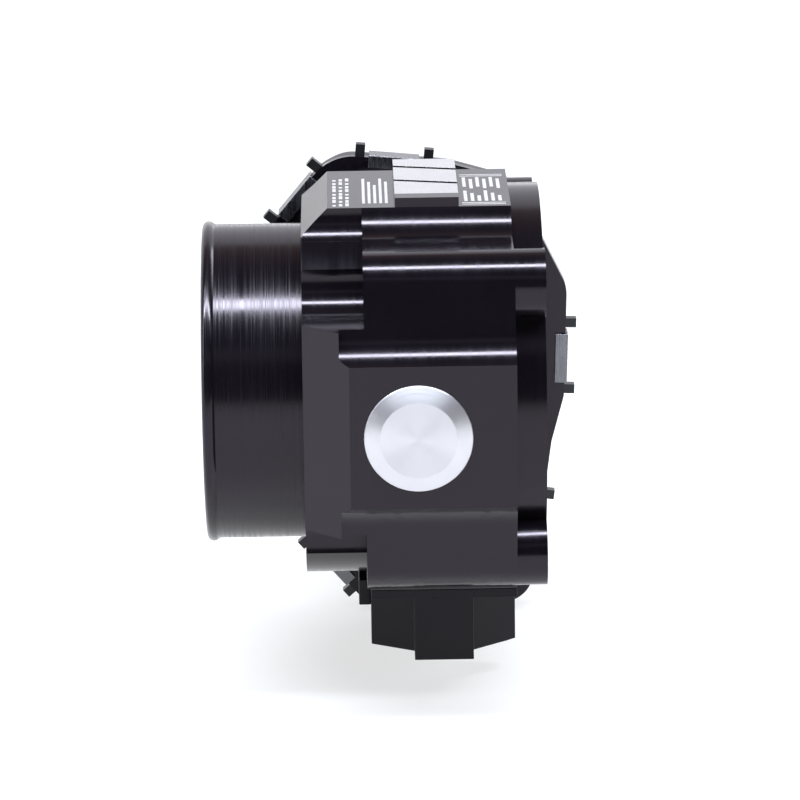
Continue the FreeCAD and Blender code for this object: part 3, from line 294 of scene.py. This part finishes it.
# ---------------------------------------------------------------- surfaces

FLAT_TURN, SHARP_TURN = math.radians(0.4), math.radians(28)


def skin(name, width):
    """Finished copy of a CAD node: seams welded, flats merged and sharp edges broken by width."""
    source = NODES[name]
    mesh = source.data.copy()
    piece = bpy.data.objects.new(name + "_skin", mesh)
    bpy.context.scene.collection.objects.link(piece)
    work = bmesh.new()
    work.from_mesh(mesh)
    bmesh.ops.remove_doubles(work, verts=work.verts, dist=0.002 * MM)
    bmesh.ops.dissolve_limit(work, angle_limit=FLAT_TURN, verts=work.verts, edges=work.edges,
                             delimit={"NORMAL"})
    for face in work.faces:
        face.smooth = True
    work.to_mesh(mesh)
    work.free()
    if "custom_normal" in mesh.attributes:
        mesh.attributes.remove(mesh.attributes["custom_normal"])
    edge = piece.modifiers.new("broken_edges", "BEVEL")
    edge.width = width
    edge.segments = 2
    edge.limit_method = "ANGLE"
    edge.angle_limit = SHARP_TURN
    edge.miter_outer = "MITER_ARC"
    edge.harden_normals = True
    flats = piece.modifiers.new("flat_normals", "WEIGHTED_NORMAL")
    flats.keep_sharp = True
    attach(piece, BODY_OF[name])
    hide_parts(name)
    return piece


# width in mm of the broken edges of each node that has its own skin
BROKEN_EDGES = {
    "throttle_housing": 0.45, "pad_inlay_strips": 0.06, "gear_cover": 0.6,
    "cover_clips": 0.12, "connector_housing": 0.3, "lead_frame": 0.3, "throttle_plate": 0.12,
    "throttle_shaft": 0.1, "plate_screws": 0.12, "connector_screws": 0.12, "connector_pins": 0.1,
}

# nodes that look different from the rest of their material slot
OWN_LOOKS = {"cover_clips": "clip_steel", "pad_inlay_strips": "slat_aluminium"}


def darken_sides(piece, look):
    """Give the upright faces of a piece a look of their own."""
    piece.data.materials.append(look)
    for face in piece.data.polygons:
        face.material_index = int(abs(face.normal.z) < 0.5)


def turned_plug(look):
    """Shaft end plug spun from its profile, with a crisp flat and a turned bevel."""
    name = "shaft_end_plug"
    low, high = (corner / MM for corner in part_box(name))
    front, head, flat, shank = low.y, (high.x - low.x) / 2, 10, 12
    profile = [(front, 0), (front, flat - 0.05), (front + 0.04, flat + 0.08), (front + 1.72, head - 0.12),
               (front + 1.9, head), (front + 2.6, head), (front + 2.6, shank), (high.y, shank), (high.y, 0)]
    work = bmesh.new()
    corners = [work.verts.new((SHAFT_X + radius * MM, y * MM, 0)) for y, radius in profile]
    edges = [work.edges.new(pair) for pair in zip(corners, corners[1:])]
    bmesh.ops.spin(work, geom=corners + edges, cent=(SHAFT_X, 0, 0), axis=(0, 1, 0), angle=2 * math.pi,
                   steps=144, use_merge=True)
    bmesh.ops.remove_doubles(work, verts=work.verts, dist=0.001 * MM)
    bmesh.ops.recalc_face_normals(work, faces=work.faces)
    for face in work.faces:
        face.smooth = True
    mesh = bpy.data.meshes.new(name)
    work.to_mesh(mesh)
    work.free()
    mesh.set_sharp_from_angle(angle=math.radians(12))
    mesh.materials.append(look)
    plug = bpy.data.objects.new("turned_plug", mesh)
    bpy.context.scene.collection.objects.link(plug)
    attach(plug, BODY_OF[name])
    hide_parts(name)


def finish_surfaces(materials):
    """Give every node its finished surface and material."""
    for name, node in NODES.items():
        look = materials[OWN_LOOKS.get(name, SLOT_OF[name])]
        if name == "shaft_end_plug":
            turned_plug(look)
            continue
        piece = skin(name, BROKEN_EDGES[name] * MM) if name in BROKEN_EDGES else node
        piece.data.materials.clear()
        piece.data.materials.append(look)
        if name == "pad_inlay_strips":
            darken_sides(piece, materials["black_anodised"])


# ---------------------------------------------------------------- laser marks

# heights in mm of the marks, which start just under the ridge's top and end just over it
MARK_BASE, MARK_TOP = 51.96, 52.02


def marked_strips():
    """Plain ruled bars on the ridge, as (x, y, width along x, length along y) in mm."""
    strips = []
    for column in range(3):
        for row in range(8):
            length = 1.8 + (3 * column + 5 * row) % 7 * 0.3
            strips.append((-54.6 + 1.7 * column, -20.5 + 4.3 * row, 0.9, length))
    strips += [(-46.8 + 1.5 * k, -17.5, 0.75, 30 - 4 * (k % 3)) for k in range(5)]
    strips += [(-20.6, y, 11.4, 0.7) for y in (-20.5, -18.8, 13.4, 15.1)]
    strips += [(-20 + 1.8 * k, -16.4, 0.9, 12.4 - 3 * (k % 3)) for k in range(6)]
    strips += [(-20 + 1.8 * k, 0.6 - 2 * (k % 2), 0.9, 11.6) for k in range(6)]
    return strips


def laser_marks(look):
    """Thin pale marks on the ridge's top."""
    work = bmesh.new()
    for x, y, width, length in marked_strips():
        size = Matrix.Diagonal((width * MM, length * MM, (MARK_TOP - MARK_BASE) * MM, 1))
        middle = Vector((x + width / 2, y + length / 2, (MARK_TOP + MARK_BASE) / 2)) * MM
        bmesh.ops.create_cube(work, size=1, matrix=Matrix.Translation(middle) @ size)
    mesh = bpy.data.meshes.new("laser_marks")
    work.to_mesh(mesh)
    work.free()
    mesh.materials.append(look)
    marks = bpy.data.objects.new("laser_marks", mesh)
    bpy.context.scene.collection.objects.link(marks)
    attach(marks, BODY_OF["throttle_housing"])


# ---------------------------------------------------------------- studio

WHITE = (1, 1, 1, 1)
FLOOR_HALF = 6.0  # half the floor's width in metres
LAMP_TINT = (0.84, 0.91, 1)

# colour of the room by angle, from the front horizon (0) over the top to the back horizon (180)
SKY = [(0, (0.05, 0.05, 0.055)), (16, (0.03, 0.03, 0.033)), (27, (0.03, 0.03, 0.033)),
       (30, (0.15, 0.15, 0.18)), (36, (0.15, 0.15, 0.18)), (40, (0.022, 0.022, 0.025)),
       (54, (0.022, 0.022, 0.026)), (62, (0.22, 0.24, 0.3)), (70, (0.8, 0.86, 1.0)),
       (76, (0.5, 0.53, 0.6)), (84, (0.022, 0.022, 0.025)), (100, (0.03, 0.026, 0.026)),
       (112, (0.09, 0.064, 0.052)), (131, (0.2, 0.145, 0.12)), (135, (0.54, 0.54, 0.57)),
       (168, (0.52, 0.52, 0.56)), (180, (0.97, 0.97, 1.0))]


def surroundings():
    """Studio seen in reflections: bright sweep behind, dark room in front, glow round the strip light."""
    world = bpy.data.worlds.new("studio")
    bpy.context.scene.world = world
    world.use_nodes = True
    world.node_tree.nodes.clear()
    sky = Nodes(world.node_tree)
    way = sky.add("SeparateXYZ", i0=sky.add("TexCoord").outputs["Generated"]).outputs
    angle = sky.math("ARCTAN2", way["Z"], sky.math("MULTIPLY", way["Y"], -1))
    ramp = sky.add("ValToRGB", i0=sky.math("DIVIDE", angle, math.pi))
    stops = ramp.color_ramp.elements
    stops[1].position = 1
    for degrees, _ in SKY[1:-1]:
        stops.new(degrees / 180)
    for stop, (_, colour) in zip(stops, SKY):
        stop.color = (*colour, 1)
    room = sky.add("Background", Color=ramp.outputs[0], Strength=2.0)
    open_white = sky.add("Background", Color=WHITE, Strength=1.0)
    seen = sky.add("LightPath").outputs["Is Camera Ray"]
    choice = sky.add("MixShader", i0=seen, i1=room.outputs[0], i2=open_white.outputs[0])
    sky.add("OutputWorld", Surface=choice.outputs[0])


def floor(height):
    """Plain white floor under the object."""
    mesh = bpy.data.meshes.new("floor")
    corners = [(x * FLOOR_HALF, y * FLOOR_HALF, height) for x, y in ((-1, -1), (1, -1), (1, 1), (-1, 1))]
    mesh.from_pydata(corners, [], [(0, 1, 2, 3)])
    plane = bpy.data.objects.new("floor", mesh)
    bpy.context.scene.collection.objects.link(plane)
    paper = Shader("paper", Base_Color=(0.3, 0.3, 0.3, 1), Roughness=0.9, Specular_IOR_Level=0.0,
                   Emission_Color=WHITE, Emission_Strength=0.66)
    mesh.materials.append(paper.material)


def strip_light(name, elevation, azimuth, distance, size, power):
    """Soft box aimed at the object; elevation above the front horizon, azimuth towards +X."""
    centre = (CAD_BOX[0] + CAD_BOX[1]) / 2
    rise, swing = math.radians(elevation), math.radians(azimuth)
    way = Vector((math.cos(rise) * math.sin(swing), -math.cos(rise) * math.cos(swing), math.sin(rise)))
    data = bpy.data.lights.new(name, "AREA")
    data.shape = "RECTANGLE"
    data.size, data.size_y = size
    data.energy = power
    data.color = LAMP_TINT
    lamp = bpy.data.objects.new(name, data)
    lamp.location = centre + way * distance
    lamp.rotation_mode = "QUATERNION"
    lamp.rotation_quaternion = way.to_track_quat("Z", "Y")
    bpy.context.scene.collection.objects.link(lamp)


CAMERA_SPOT = Vector((-51.5, -1295.9, 341.1)) * MM
CAMERA_AIM = Vector((-37.4, -1.53, -5.7)) * MM
CAMERA_ROLL = 0.0135


def camera():
    """Long lens a little above the bore's height, nearly square to the bore."""
    data = bpy.data.cameras.new("camera")
    data.lens, data.sensor_width = 225, 36
    eye = bpy.data.objects.new("camera", data)
    back = (CAMERA_SPOT - CAMERA_AIM).normalized()
    level = Vector((0, 0, 1)).cross(back).normalized()
    right = (level - back.cross(level) * CAMERA_ROLL).normalized()
    turn = Matrix((right, back.cross(right), back)).transposed().to_4x4()
    eye.matrix_world = Matrix.Translation(CAMERA_SPOT) @ turn
    bpy.context.scene.collection.objects.link(eye)
    bpy.context.scene.camera = eye


def studio():
    """Room, floor, lights and camera."""
    surroundings()
    floor(CAD_BOX[0].z)
    strip_light("overhead_strip", 71, 0, 1.3, (2.2, 0.17), 58)
    strip_light("left_card", 36, -80, 1.4, (0.14, 1.9), 10)
    strip_light("engine_side_fill", 22, 125, 1.4, (0.9, 0.9), 14)
    camera()
    bpy.context.scene.view_settings.view_transform = "Standard"


looks = all_materials()
finish_surfaces(looks)
laser_marks(looks["laser_mark"])
studio()
